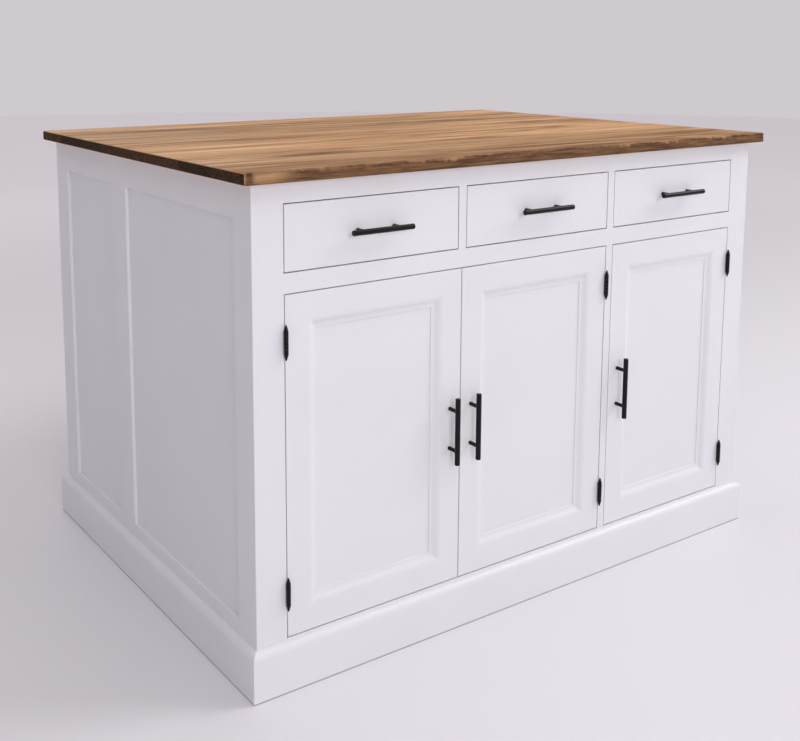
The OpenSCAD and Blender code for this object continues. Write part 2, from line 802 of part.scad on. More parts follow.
module hinge_pins() color(BLACK) for (i = [0:2]) at_door(i) at_hinges(i) hinge_pin();

module door_hinge_leaves(i) color(BLACK) at_door(i) at_hinges(i) hinge_leaf(-DOORS[i][2], 1);

// ---- handles ----
// A handle is drawn upright, its posts standing on the XZ plane and its bar at -Y.

module handle(wood_t) {
    difference() {
        union() {
            translate([0, -bar_reach, -bar_l / 2]) rotate_extrude($fn = round_fn) intersection() {
                translate([-bar_r, 0]) eased(2 * bar_r, bar_l, bar_end_r);
                square([bar_r, bar_l]);
            }
            at_posts() rotate([90, 0, 0]) cylinder(r = post_r, h = bar_reach, $fn = round_fn);
        }
        at_posts() rotate([90, 0, 0]) translate([0, 0, -past])
            cylinder(r = screw_r + thread_clear, h = screw_in + 2 * past, $fn = round_fn);
    }
    at_posts() handle_screw(wood_t);
}

module at_posts() for (s = [-1, 1]) translate([0, 0, s * post_pitch / 2]) children();

// A screw through wood wood_t thick into a post, with its head on the rear face.
module handle_screw(wood_t) {
    translate([0, wood_t, 0]) rotate([90, 0, 0])
        cylinder(r = screw_r, h = wood_t + screw_in, $fn = round_fn);
    translate([0, wood_t + screw_head_h, 0]) rotate([90, 0, 0])
        cylinder(r = screw_head_r, h = screw_head_h, $fn = round_fn);
}

module screw_holes(wood_t) at_posts() translate([0, wood_t + past, 0]) rotate([90, 0, 0])
    cylinder(r = screw_r + screw_clear, h = wood_t + 2 * past, $fn = round_fn);

// ---- catches ----

module magnet_catches() color("#3a3a3d") placed() for (i = [0:2])
    translate([DOORS[i][0] + from_free_edge(i, catch_inset), 0, 0])
        block([-catch_w / 2, catch_w / 2],
            [door_t + strike_t + catch_gap, door_t + strike_t + catch_gap + catch_d],
            [mid_rail_z - catch_h, mid_rail_z]);

module door_strike(i) color(STEEL) at_door(i)
    translate([from_free_edge(i, catch_inset), door_t, door_h - strike_drop - strike_h])
        block([-strike_w / 2, strike_w / 2], [0, strike_t], [0, strike_h]);

worktop();
worktop_battens();
face_stiles();
face_rail_top();
face_rail_middle();
face_rail_bottom();
drawer_mullions();
door_mullion();
end_stiles();
end_rails();
end_panels();
back_stiles();
back_rails();
back_panels();
plinth_front();
plinth_sides();
plinth_back();
cupboard_floor();
drawer_deck();
partition();
runner_boards();
drawer_runners();
shelves();
shelf_pins();
hinge_frame_leaves();
hinge_pins();
magnet_catches();
drawer_front(0);  // drawer_1_front
drawer_sides(0);  // drawer_1_sides
drawer_back(0);  // drawer_1_back
drawer_bottom(0);  // drawer_1_bottom
drawer_handle(0);  // drawer_1_handle
drawer_front(1);  // drawer_2_front
drawer_sides(1);  // drawer_2_sides
drawer_back(1);  // drawer_2_back
drawer_bottom(1);  // drawer_2_bottom
drawer_handle(1);  // drawer_2_handle
drawer_front(2);  // drawer_3_front
drawer_sides(2);  // drawer_3_sides
drawer_back(2);  // drawer_3_back
drawer_bottom(2);  // drawer_3_bottom
drawer_handle(2);  // drawer_3_handle
door_stiles(0);  // door_1_stiles
door_rails(0);  // door_1_rails
door_panel(0);  // door_1_panel
door_hinge_leaves(0);  // door_1_hinge_leaves
door_handle(0);  // door_1_handle
door_strike(0);  // door_1_strike
door_stiles(1);  // door_2_stiles
door_rails(1);  // door_2_rails
door_panel(1);  // door_2_panel
door_hinge_leaves(1);  // door_2_hinge_leaves
door_handle(1);  // door_2_handle
door_strike(1);  // door_2_strike
door_stiles(2);  // door_3_stiles
door_rails(2);  // door_3_rails
door_panel(2);  // door_3_panel
door_hinge_leaves(2);  // door_3_hinge_leaves
door_handle(2);  // door_3_handle
door_strike(2);  // door_3_strike
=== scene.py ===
# %% [markdown]
# # Dressing a painted kitchen island
#
# The island is already built as solid pieces: a painted frame, doors, drawers, hinges and an oak
# top. This lesson loads those pieces, gives every surface its finish, and adds the small things
# that a joiner leaves behind: a brushed oak edge, and the screws of hinges, handles and catches.
# Nothing that was built is moved. All sizes are in metres and the floor is at height 0.

# %% Load the built pieces
import math

import bpy
import numpy as np
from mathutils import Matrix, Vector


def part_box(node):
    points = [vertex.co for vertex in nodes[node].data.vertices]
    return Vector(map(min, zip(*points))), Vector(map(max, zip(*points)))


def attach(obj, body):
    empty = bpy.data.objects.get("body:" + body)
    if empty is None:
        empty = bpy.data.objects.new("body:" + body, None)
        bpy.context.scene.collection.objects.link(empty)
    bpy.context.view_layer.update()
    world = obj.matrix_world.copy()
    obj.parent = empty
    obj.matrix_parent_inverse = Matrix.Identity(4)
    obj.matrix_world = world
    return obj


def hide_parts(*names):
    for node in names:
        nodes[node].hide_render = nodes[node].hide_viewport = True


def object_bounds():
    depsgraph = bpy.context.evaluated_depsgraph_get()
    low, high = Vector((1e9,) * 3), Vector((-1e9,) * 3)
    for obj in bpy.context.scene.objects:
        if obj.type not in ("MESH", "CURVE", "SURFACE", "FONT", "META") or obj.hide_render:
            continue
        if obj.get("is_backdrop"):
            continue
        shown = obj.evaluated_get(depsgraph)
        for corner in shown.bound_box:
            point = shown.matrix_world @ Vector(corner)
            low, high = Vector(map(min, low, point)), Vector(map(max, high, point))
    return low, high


MM = 0.001
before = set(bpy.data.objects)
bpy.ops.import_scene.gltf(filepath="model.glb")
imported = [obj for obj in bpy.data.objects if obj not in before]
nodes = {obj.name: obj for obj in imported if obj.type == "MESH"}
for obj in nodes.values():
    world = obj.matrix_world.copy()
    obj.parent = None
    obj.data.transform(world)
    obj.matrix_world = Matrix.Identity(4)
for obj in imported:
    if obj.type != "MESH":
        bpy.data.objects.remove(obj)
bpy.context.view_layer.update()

# %% [markdown]
# ## The camera
#
# The picture was taken from the island's left front corner, a little above the worktop. The lens
# looked only slightly down, so upright edges stay nearly parallel, and the picture is the lower
# part of a larger one. A camera that is tilted until the island sits right would make the uprights
# lean. One with a downward shift gives the view as it was taken. The shift is kept as small as the
# picture allows, because the island has to stay in the frame from other sides too.

# %% Set the camera
EYE = (-1.4506, -1.954, 1.109)
HEADING = math.radians(34.295)  # turned from straight ahead, +Y, towards the right, +X
TILT = math.radians(8.194)  # down from level
LENS_MM = 49.148
SHIFT_X, SHIFT_Y = 0.0538, -0.22  # shares of the picture's width

camera_data = bpy.data.cameras.new("picture_camera")
camera_data.lens = LENS_MM
camera_data.shift_x = SHIFT_X
camera_data.shift_y = SHIFT_Y
camera = bpy.data.objects.new("picture_camera", camera_data)
bpy.context.scene.collection.objects.link(camera)
camera.location = EYE
camera.rotation_euler = (math.radians(90) - TILT, 0, -HEADING)
bpy.context.scene.camera = camera
print("camera at", EYE, "lens", LENS_MM, "mm")

# %% [markdown]
# ## Nodes with little typing
#
# A material is a small graph. It could be drawn by hand in the editor, but code can be read and
# repeated. One function adds a node, sets its own settings, and feeds each input either with a
# value or with a link. Colours are written as they look on a screen, in hex, and one function
# turns them into the linear values that a renderer works in.


# %% Colours
def linear(hex_colour):
    """Linear RGBA of an sRGB hex colour.

    A channel c becomes c / 12.92 below 0.04045, and otherwise ((c + 0.055) / 1.055) ** 2.4.
    """
    parts = np.array([int(hex_colour[i : i + 2], 16) for i in (1, 3, 5)]) / 255
    low, high = parts / 12.92, ((parts + 0.055) / 1.055) ** 2.4
    return (*np.where(parts < 0.04045, low, high).tolist(), 1.0)


print("mid grey #808080 is", round(linear("#808080")[0], 4), "in linear light")


# %% Nodes
def feed(tree, node, inputs):
    """Fills inputs with numbers or hex colours, or links them to sockets or first outputs."""
    for key, value in inputs.items():
        if isinstance(value, bpy.types.Node):
            value = value.outputs[0]
        if isinstance(value, bpy.types.NodeSocket):
            tree.links.new(value, node.inputs[key])
        else:
            node.inputs[key].default_value = linear(value) if isinstance(value, str) else value
    return node


def add(tree, kind, inputs=None, **settings):
    """Adds a node of a kind to a tree, with its settings, and feeds its inputs."""
    node = tree.nodes.new("ShaderNode" + kind)
    for key, value in settings.items():
        setattr(node, key, value)
    return feed(tree, node, inputs or {})


def blank(name):
    """A new material with its shader: (material, tree, shader)."""
    material = bpy.data.materials.new(name)
    material.use_nodes = True
    return material, material.node_tree, material.node_tree.nodes["Principled BSDF"]


node_kinds = [name for name in dir(bpy.types) if name.startswith("ShaderNode")]
print("there are", len(node_kinds), "kinds of node to add")

# %% Ranges and scales
SMOOTH = {"interpolation_type": "SMOOTHSTEP"}


def span(start, end, low=0.0, high=1.0):
    """Inputs of a range node that turns the range start to end into low to high."""
    return {"From Min": start, "From Max": end, "To Min": low, "To Max": high}


def scale_of(sizes):
    """Scales of a pattern whose spots have these sizes, in metres along x, y and z."""
    return [1 / size for size in sizes]


print("spots of 2, 4 and 5 mm have scales", scale_of([2 * MM, 4 * MM, 5 * MM]))

# %% [markdown]
# ## Floor and light
#
# The island stands in a photo studio: a pale floor, a pale room round it, and three large soft
# lamps. A square floor plate would do, but its corners and its far edge would show from some
# sides, so it is a wide round disc, made of rings of points with four-sided faces between them.
# The lamps don't reach its far part, so that glows a little, as much as the room does low down:
# the floor then ends without a line, as it does where a studio's backdrop curves up.

# %% Draw the floor
FLOOR_RADIUS = 14.0
FLOOR_RINGS, FLOOR_SPOKES = 24, 96


def disc(radius, rings, spokes):
    """Points of a flat disc: ring k of n has radius R (k / n) ** 2, spokes have equal angles."""
    r = radius * (np.arange(1, rings + 1) / rings)[:, None] ** 2
    a = np.linspace(0, 2 * np.pi, spokes, endpoint=False)[None, :]
    return np.stack([r * np.cos(a), r * np.sin(a), np.zeros((rings, spokes))], -1)


def ring_faces(rings, spokes):
    """Numbers of the points, those of their neighbours ahead round each ring, and the faces.

    A face goes from a point to the next ring, ahead there, and back: (i, k), (i + 1, k),
    (i + 1, k + 1), (i, k + 1).
    """
    index = np.arange(rings * spokes).reshape(rings, spokes)
    ahead = np.roll(index, -1, 1)
    return index, ahead, np.stack([index[:-1], index[1:], ahead[1:], ahead[:-1]], -1).reshape(-1, 4)


floor_points = disc(FLOOR_RADIUS, FLOOR_RINGS, FLOOR_SPOKES).reshape(-1, 3)
floor_index, _, floor_faces = ring_faces(FLOOR_RINGS, FLOOR_SPOKES)
floor_faces = [*floor_faces.tolist(), floor_index[0].tolist()]
floor_mesh = bpy.data.meshes.new("studio_floor")
floor_mesh.from_pydata(floor_points.tolist(), [], floor_faces)
floor = bpy.data.objects.new("studio_floor", floor_mesh)
bpy.context.scene.collection.objects.link(floor)
floor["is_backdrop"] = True
print("floor radius", FLOOR_RADIUS, "m,", len(floor_mesh.polygons), "faces")

# %% Paint the floor
FLOOR_COLOURS = ("#e2dfe4", "#ebe8ec")
FLOOR_CLOUD = 1 / 1.3  # metres: 1.3 clouds to a metre
FLOOR_ROUGHNESS = 0.55
ROOM_COLOUR = "#f0ebef"
NEAR_FLOOR, FAR_FLOOR, FAR_GLOW = 2.5, 7.0, 0.17  # metres, metres, strength

floor_paint, tree, shader = blank("studio_floor_paint")
cloud = add(tree, "TexNoise", {"Scale": 1 / FLOOR_CLOUD, "Detail": 3.0})
ground = add(tree, "TexCoord").outputs["Object"]
distance = add(tree, "VectorMath", {0: ground}, operation="LENGTH").outputs["Value"]
far_range = span(NEAR_FLOOR, FAR_FLOOR, 0.0, FAR_GLOW)
look = {
    "Base Color": add(
        tree,
        "MixRGB",
        {"Fac": cloud, "Color1": FLOOR_COLOURS[0], "Color2": FLOOR_COLOURS[1]},
    ),
    "Roughness": FLOOR_ROUGHNESS,
    "Emission Color": ROOM_COLOUR,
    "Emission Strength": add(tree, "MapRange", {"Value": distance, **far_range}, **SMOOTH),
}
feed(tree, shader, look)
floor_mesh.materials.append(floor_paint)
print("far floor glows from", NEAR_FLOOR, "to", FAR_FLOOR, "m")

# %% [markdown]
# ### The room and its lamps
#
# A photographed room could light the island, but it would bring its own colours. Here the room is
# a plain glow that only depends on height: bright low down, where the camera sees it, dim at the
# sides, and bright again overhead, where the white ceiling would be. The strongest lamp stands
# high up on the right and throws the soft shadows of the handles down and to the left. The second
# stands in front: the doors and the sides of the end's recesses face it, while the left end itself
# only catches a little of it. The third fills in behind.

# %% Light the room
LOW_GLOW, SIDE_GLOW, CEILING_GLOW = 0.71, 0.03, 1.09
# Heights are on a ball of radius 1 round the point that looks out.
LOW_EDGE = span(0.17, 0.27, LOW_GLOW, SIDE_GLOW)
CEILING_EDGE = span(0.5, 0.8, 0.0, CEILING_GLOW - SIDE_GLOW)

world = bpy.data.worlds.new("pale_room")
world.use_nodes = True
tree = world.node_tree
direction = add(tree, "TexCoord").outputs["Generated"]
height = add(tree, "SeparateXYZ", {0: direction}).outputs["Z"]
low_glow = add(tree, "MapRange", {"Value": height, **LOW_EDGE}, **SMOOTH)
ceiling = add(tree, "MapRange", {"Value": height, **CEILING_EDGE}, **SMOOTH)
glow = add(tree, "Math", {0: low_glow, 1: ceiling}, operation="ADD")
feed(tree, tree.nodes["Background"], {"Color": ROOM_COLOUR, "Strength": glow})
bpy.context.scene.world = world
bpy.context.scene.view_settings.view_transform = "Standard"
print("room glow:", LOW_GLOW, "low,", SIDE_GLOW, "at the sides,", CEILING_GLOW, "overhead")

# %% Hang the lamps
LAMPS = {  # place and width in metres, power in watts
    "right_lamp": ((3.6, -2.0, 3.6), 2.6, 106.0),
    "front_lamp": ((-1.7, -5.2, 2.3), 2.6, 79.0),
    "back_lamp": ((0.5, 5.0, 3.0), 3.6, 16.0),
}
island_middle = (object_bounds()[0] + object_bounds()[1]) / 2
for name, (place, size, watts) in LAMPS.items():
    lamp_data = bpy.data.lights.new(name, "AREA")
    lamp_data.shape = "DISK"
    lamp_data.size = size
    lamp_data.energy = watts
    lamp = bpy.data.objects.new(name, lamp_data)
    bpy.context.scene.collection.objects.link(lamp)
    lamp.location = place
    lamp.rotation_euler = (island_middle - lamp.location).to_track_quat("-Z", "Y").to_euler()
    print(name, watts, "W at", place)

# %% [markdown]
# ## Satin paint on wood
#
# Frame, doors, drawer fronts and plinth are sprayed with a white satin furniture lacquer. A plain
# white would look like plastic: the lacquer is smooth, but the wood still shows in it as very fine
# ridges along each board, over the faint skin of the spray. The ridges are noise that is stretched
# along the board, so there is one material for boards that run along each axis. Real ridges are
# under a millimetre wide, and they are drawn a few millimetres wide so that they show. Where the
# plinth meets the floor, a thin grey line of painted shade darkens the paint.

# %% Make the paint
RIDGE_WIDTH, RIDGE_LENGTH, RIDGE_DEPTH = 3 * MM, 180 * MM, 0.02 * MM
SPRAY_GRAIN, SPRAY_DEPTH = 1.6 * MM, 0.006 * MM
PAINT_CLOUD = 200 * MM
WHITES = ("#e5e4e8", "#ecebef")
LACQUER_IOR = 1.5
PAINT_GLOSS = span(0.0, 1.0, 0.34, 0.44)
# painted shade: the paint is darkened in a thin grey line where the plinth meets the floor
PLINTH_SHADE_LINE = span(0.5 * MM, 3 * MM, 0.3, 1.0)  # height above the floor, and brightness there


def satin_paint(name, along):
    """White satin lacquer over a board whose grain runs along axis number along, 0 to 2."""
    material, tree, shader = blank(name)
    place = add(tree, "TexCoord").outputs["Object"]
    sizes = [RIDGE_WIDTH] * 3
    sizes[along] = RIDGE_LENGTH
    board = add(tree, "Mapping", {"Vector": place, "Scale": scale_of(sizes)})
    ridges = add(tree, "TexNoise", {"Vector": board, "Scale": 1.0, "Detail": 2.0})
    spray = add(tree, "TexNoise", {"Vector": place, "Scale": 1 / SPRAY_GRAIN, "Detail": 1.0})
    cloud = add(tree, "TexNoise", {"Vector": place, "Scale": 1 / PAINT_CLOUD, "Detail": 3.0})
    tone = add(tree, "MixRGB", {"Fac": cloud, "Color1": WHITES[0], "Color2": WHITES[1]})
    height = add(tree, "SeparateXYZ", {0: place}).outputs["Z"]
    # painted shade along the floor line, darker towards the floor
    plinth_shade = add(tree, "MapRange", {"Value": height, **PLINTH_SHADE_LINE})
    grain = add(tree, "Bump", {"Height": ridges, "Distance": RIDGE_DEPTH, "Strength": 1.0})
    look = {
        "Base Color": add(tree, "VectorMath", {0: tone, "Scale": plinth_shade}, operation="SCALE"),
        "Roughness": add(tree, "MapRange", {"Value": cloud, **PAINT_GLOSS}),
        "Normal": add(tree, "Bump", {"Height": spray, "Distance": SPRAY_DEPTH, "Normal": grain}),
        "IOR": LACQUER_IOR,
    }
    feed(tree, shader, look)
    return material


PAINT = [satin_paint(f"satin_paint_{axis}", i) for i, axis in enumerate("xyz")]
print("paints:", [m.name for m in PAINT])

# %% [markdown]
# ## Sawn timber
#
# Inside, the battens, the drawer boxes and the boards that carry the runner strips are bare pine,
# and the strips themselves are waxed beech. Both show growth rings as long bands along the board
# and fine fibres between them. Rings could be cut out of a whole modelled trunk, but on narrow
# boards bands look the same: a band is a slow noise stretched along the board, and a fibre is the
# same thing several times finer.

# %% Make pine and beech
BAND_LENGTH = 600 * MM
FIBRE_WIDTH, FIBRE_LENGTH, FIBRE_DEPTH = 1.2 * MM, 40 * MM, 0.03 * MM
BAND_EDGE = span(0.38, 0.66)
FIBRE_TONE = span(0.3, 0.7, 0.88, 1.04)


def sawn_timber(name, along, colours, band_width, roughness):
    """Bare timber with grain along axis number along: bands between two colours, with fibres."""
    material, tree, shader = blank(name)
    place = add(tree, "TexCoord").outputs["Object"]
    band, fibre = [band_width] * 3, [FIBRE_WIDTH] * 3
    band[along], fibre[along] = BAND_LENGTH, FIBRE_LENGTH
    wide = add(tree, "Mapping", {"Vector": place, "Scale": scale_of(band)})
    fine = add(tree, "Mapping", {"Vector": place, "Scale": scale_of(fibre)})
    banding = {"Vector": wide, "Scale": 1.0, "Detail": 3.0, "Distortion": 0.6}
    bands = add(tree, "TexNoise", banding)
    fibres = add(tree, "TexNoise", {"Vector": fine, "Scale": 1.0, "Detail": 2.0})
    sharp = add(tree, "MapRange", {"Value": bands, **BAND_EDGE}, **SMOOTH)
    base = add(tree, "MixRGB", {"Fac": sharp, "Color1": colours[0], "Color2": colours[1]})
    thread = add(tree, "MapRange", {"Value": fibres, **FIBRE_TONE})
    look = {
        "Base Color": add(tree, "VectorMath", {0: base, "Scale": thread}, operation="SCALE"),
        "Normal": add(tree, "Bump", {"Height": fibres, "Distance": FIBRE_DEPTH}),
        "Roughness": roughness,
    }
    feed(tree, shader, look)
    return material


PINE_LOOK = {"colours": ("#e4cda2", "#c9a36c"), "band_width": 14 * MM, "roughness": 0.6}
BEECH_LOOK = {"colours": ("#c99a6b", "#b07f52"), "band_width": 6 * MM, "roughness": 0.45}
PINE = [sawn_timber(f"bare_pine_{axis}", i, **PINE_LOOK) for i, axis in enumerate("xyz")]
BEECH = sawn_timber("waxed_beech", 1, **BEECH_LOOK)
print("timbers:", [m.name for m in [*PINE, BEECH]])

# %% [markdown]
# ## Black powder coat, plastic and zinc
#
# Handles and hinges are steel with a matt black powder coat: nearly black, rough enough that a
# lamp only gives a soft grey streak, with a very fine grit. A coat hides the metal, so it is not
# metallic. The catches are dark moulded ABS, which is the same kind of surface, only paler. Shelf
# pins and strike plates are zinc-plated steel, a true metal with faint marks of rolling. Real grit
# and marks are a tenth of a millimetre wide, and they are drawn about a millimetre wide so that
# they show.

# %% Make the small parts' finishes
COAT_CLOUD = 1 / 60  # metres: 60 clouds to a metre
GRIT_DEPTH = 0.02 * MM
COAT_SHINE = 0.2
ROLL_MARK = (1 / 60, 1 / 900, 1 / 900)  # metres: 60 marks to a metre along the rolling, 900 across
ZINC_COLOUR, ZINC_GLOSS = "#c4c6c9", span(0.0, 1.0, 0.24, 0.42)


def powder_coat(name, colours, roughness, grit):
    """Melted powder, or moulded ABS: a dielectric with noise of size grit as its relief."""
    material, tree, shader = blank(name)
    place = add(tree, "TexCoord").outputs["Object"]
    grains = add(tree, "TexNoise", {"Vector": place, "Scale": 1 / grit, "Detail": 2.0})
    cloud = add(tree, "TexNoise", {"Vector": place, "Scale": 1 / COAT_CLOUD, "Detail": 2.0})
    look = {
        "Base Color": add(
            tree, "MixRGB", {"Fac": cloud, "Color1": colours[0], "Color2": colours[1]}
        ),
        "Normal": add(tree, "Bump", {"Height": grains, "Distance": GRIT_DEPTH}),
        "Roughness": roughness,
        "Specular IOR Level": COAT_SHINE,
    }
    feed(tree, shader, look)
    return material


def zinc_plate(name):
    """Zinc-plated steel: metallic, with roughness that a fine stretched noise makes uneven."""
    material, tree, shader = blank(name)
    place = add(tree, "TexCoord").outputs["Object"]
    marks = add(tree, "Mapping", {"Vector": place, "Scale": scale_of(ROLL_MARK)})
    rolled = add(tree, "TexNoise", {"Vector": marks, "Scale": 1.0, "Detail": 2.0})
    look = {
        "Base Color": ZINC_COLOUR,
        "Roughness": add(tree, "MapRange", {"Value": rolled, **ZINC_GLOSS}),
        "Metallic": 1.0,
    }
    feed(tree, shader, look)
    return material


COAT_LOOK = {"colours": ("#0b0a0c", "#121113"), "roughness": 0.3, "grit": 0.8 * MM}
ABS_LOOK = {"colours": ("#3a3a3d", "#404044"), "roughness": 0.5, "grit": 1.2 * MM}
BLACK_COAT = powder_coat("matt_black_powder_coat", **COAT_LOOK)
DARK_PLASTIC = powder_coat("moulded_abs", **ABS_LOOK)
ZINC = zinc_plate("zinc_plated_steel")
print("small parts:", BLACK_COAT.name, DARK_PLASTIC.name, ZINC.name)

# %% [markdown]
# ## Handing out the finishes
#
# Each built piece keeps its mesh and only gets a new material in its slot. A list of all sixty
# pieces would be long and easy to get wrong. What a piece is made of, and the way its grain runs,
# follow from its name: everything is painted but the battens, the fittings, the drawer boxes and
# the strips and boards that these run on.

# %% Give each built piece its finish
UPRIGHT = ("stiles", "mullion", "panel", "partition")
ALWAYS_PAINTED = ("plinth", "face", "back", "end", "drawer", "cupboard")
PAINTED_DRAWER_PARTS = ("front", "mullions", "deck")
FINISHES = {
    "batten": PINE[0],
    "runner_boards": PINE[1],
    "drawer_runners": BEECH,
    "sides": PINE[1],
    "_back": PINE[0],
    "bottom": PINE[0],
    "handle": BLACK_COAT,
    "hinge": BLACK_COAT,
    "magnet": DARK_PLASTIC,
    "pins": ZINC,
    "strike": ZINC,
}


def finish_of(name):
    """The material of a built piece: by a word in its name, else paint along its longer way."""
    drawer_part = name.startswith("drawer_") and not name.endswith(PAINTED_DRAWER_PARTS)
    if drawer_part or not name.startswith(ALWAYS_PAINTED):
        for word, material in FINISHES.items():
            if word in name:
                return material
    if any(word in name for word in UPRIGHT):
        return PAINT[2]
    if name == "plinth_sides":
        return PAINT[1]
    return PAINT[0]


for name, piece in nodes.items():
    for slot in piece.material_slots:
        slot.material = finish_of(name)
print({name: finish_of(name).name for name in sorted(nodes)})

# %% [markdown]
# ## The oak worktop
#
# The worktop is eight oak staves glued edge to edge. Its long front edge was left rustic: the
# upper corner is brushed away unevenly and the face has hollows, while the other edges are only
# rounded. A bump in the material would leave the outline of the edge straight, and sculpting by
# hand can't be repeated, so the wear is real geometry that is worked out. Each stave is a closed
# profile, a rectangle with rounded corners, carried along X, with all its rings computed at once
# as arrays. On the front stave a wear depth then pushes the points inwards.

# %% Smooth noise as a sum of waves
WAVES = 28


def wave_noise(seed, *axes):
    """Smooth noise of about -1 to 1: the sum of WAVES cosines over the root of twice their number.

    A cosine has a random phase from the seed, and along each axis, given as (places, length), it
    makes a random number of turns of up to 1 / length per metre.
    """
    rng = np.random.default_rng(seed)
    turns = rng.uniform(0, 1, WAVES)
    for places, length in axes:
        turns = turns + places[..., None] * rng.uniform(-1, 1, WAVES) / length
    return np.cos(2 * np.pi * turns).sum(-1) / math.sqrt(2 * WAVES)


def step(value, start, end):
    """Smooth step 3 t² - 2 t³ of a value, from 0 at start to 1 at end."""
    t = ((value - start) / (end - start)).clip(0, 1)
    return t * t * (3 - 2 * t)


def fade(distance, reach):
    """Soft fall from 1 at no distance: exp(-(distance / reach)²)."""
    return np.exp(-((distance / reach) ** 2))


sample = wave_noise(1, (np.linspace(0, 1, 500), 90 * MM))
print("noise over 1 m: from", round(sample.min(), 2), "to", round(sample.max(), 2))

# %% [markdown]
# ### From rings to a closed mesh
#
# Every new piece in this lesson is a stack of rings with the same number of points. The rings
# could be joined by hand, two at a time, but the faces between them follow one rule, so they are
# all written at once. A fan of triangles round one middle point closes each end, and the enclosed
# volume tells whether the faces point outwards.

# %% Turn rings into a closed mesh
def closed_mesh(rings):
    """Points and faces of rings (m, n, 3): closed round each ring, and by a fan at both ends.

    The middle points of the two fans come last, with the numbers m n and m n + 1.
    """
    m, n = rings.shape[:2]
    index, ahead, sides = ring_faces(m, n)
    middles = np.stack([rings[0].mean(0), rings[-1].mean(0)])
    first = [[m * n, a, b] for a, b in zip(index[0].tolist(), ahead[0].tolist())]
    last = [[m * n + 1, b, a] for a, b in zip(index[-1].tolist(), ahead[-1].tolist())]
    return np.concatenate([rings.reshape(-1, 3), middles]), [*sides.tolist(), *first, *last]


def outwards(points, faces):
    """The faces, turned over if their volume, a sum of a · (b × c) over triangles, is negative."""
    quads = np.array([face for face in faces if len(face) == 4])
    thirds = np.concatenate([[face[:3] for face in faces], quads[:, [0, 2, 3]]])
    a, b, c = points[thirds].transpose(1, 0, 2)
    volume = np.einsum("ij,ij->", a, np.cross(b, c))
    return faces if volume > 0 else [face[::-1] for face in faces]


square = np.array([[0, 0, 0], [0, 1, 0], [1, 1, 0], [1, 0, 0]], float)
cube_points, cube_faces = closed_mesh(np.stack([square, square + [0, 0, 1]]))
print("a cube this way has", len(cube_points), "points and", len(cube_faces), "faces")


# %% Make a piece that rides on a body
def merged(shapes):
    """Points and faces of several closed shapes, each given as rings, with all faces outwards."""
    points, faces, start = [], [], 0
    for rings in shapes:
        own_points, own_faces = closed_mesh(rings)
        faces += [[k + start for k in face] for face in outwards(own_points, own_faces)]
        points.append(own_points)
        start += len(own_points)
    return np.concatenate(points), faces


def make_piece(name, shapes, material, body):
    """Builds one smooth mesh object from closed shapes, with its material, riding on a body."""
    points, faces = merged(shapes)
    mesh = bpy.data.meshes.new(name)
    mesh.from_pydata(points.tolist(), [], faces)
    mesh.shade_smooth()
    mesh.materials.append(material)
    piece = bpy.data.objects.new(name, mesh)
    bpy.context.scene.collection.objects.link(piece)
    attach(piece, body)
    print(name, "rides on", body, "with", len(faces), "faces")
    return piece


print("two cubes in one piece:", len(merged([cube_points[:8].reshape(2, 4, 3)] * 2)[1]), "faces")

# %% [markdown]
# ### One stave
#
# A stave is a plain board of about 119 by 20 mm. The outer edges of the worktop are rounded well,
# and the edges at a glue joint only a little, so that the joint shows as a fine line. A bevel on a
# box would round the edges too, but the front needs many more points than the rest for its wear. So
# the profile is drawn point by point, and the places of its rings along X are chosen as well:
# close together on the front stave, far apart on the others, and eased in at both ends.

# %% Draw a stave's profile
ARC_STEPS = 6
UNDER_POINTS = 6
TOP_PER_FRONT = 4  # points over the top for each one up the front
TOP_CROWDING = 1.6  # above 1, points crowd towards the front, where the wear is


def corner_arc(y, z, radius, start):
    """Points of a quarter circle round (y, z), from start quarter turns onwards."""
    angle = (start + np.linspace(0, 1, ARC_STEPS + 1)) * np.pi / 2
    return np.stack([y + radius * np.cos(angle), z + radius * np.sin(angle)], -1)


def stave_profile(y, z, front_round, rear_round, fine):
    """Loop of (y, z) points: up the front, over the top, down the rear and back underneath."""
    (y0, y1), (z0, z1) = y, z
    f, r = front_round, rear_round
    rise = np.stack([np.full(fine, y0), np.linspace(z0 + f, z1 - f, fine + 2)[1:-1]], -1)
    share = np.linspace(0, 1, TOP_PER_FRONT * fine + 2)[1:-1] ** TOP_CROWDING
    top = np.stack([y0 + f + (y1 - r - y0 - f) * share, np.full(len(share), z1)], -1)
    back = np.linspace(y1 - r, y0 + f, UNDER_POINTS + 2)[1:-1]
    under = np.stack([back, np.full(UNDER_POINTS, z0)], -1)
    arcs = [
        corner_arc(y0 + f, z0 + f, f, 2)[::-1],
        corner_arc(y0 + f, z1 - f, f, 1)[::-1],
        corner_arc(y1 - r, z1 - r, r, 0)[::-1],
        corner_arc(y1 - r, z0 + r, r, 3)[::-1],
    ]
    return np.concatenate([arcs[0], rise, arcs[1], top, arcs[2], arcs[3], under])


print("a profile has", len(stave_profile((0, 1), (0, 1), 0.1, 0.1, 4)), "points")

# %% Place the rings along the worktop
STAVES = 8
GLUE_LINE = 0.1 * MM
EDGE_ROUND, SEAM_ROUND = 2.5 * MM, 0.35 * MM
WEAR_STEP, PLAIN_STEP = 1.8 * MM, 40 * MM
low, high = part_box("worktop")
pitch = (high.y - low.y) / STAVES


def stations(spacing):
    """Places along X, and how far a rounded end draws the section in there.

    Where a place is still d short of the straight part, that is R - sqrt(R² - d²).
    """
    turn = np.linspace(0, np.pi / 2, ARC_STEPS + 1)[:-1]
    ease = EDGE_ROUND * (1 - np.cos(turn))
    count = int((high.x - low.x) / spacing)
    middle = np.linspace(low.x + EDGE_ROUND, high.x - EDGE_ROUND, count)
    x = np.concatenate([low.x + ease, middle, (high.x - ease)[::-1]])
    short = (EDGE_ROUND - np.minimum(x - low.x, high.x - x)).clip(0, EDGE_ROUND)
    return x, EDGE_ROUND - np.sqrt(EDGE_ROUND**2 - short**2)


print("stave width", round(pitch / MM, 1), "mm,", len(stations(WEAR_STEP)[0]), "rings in front")
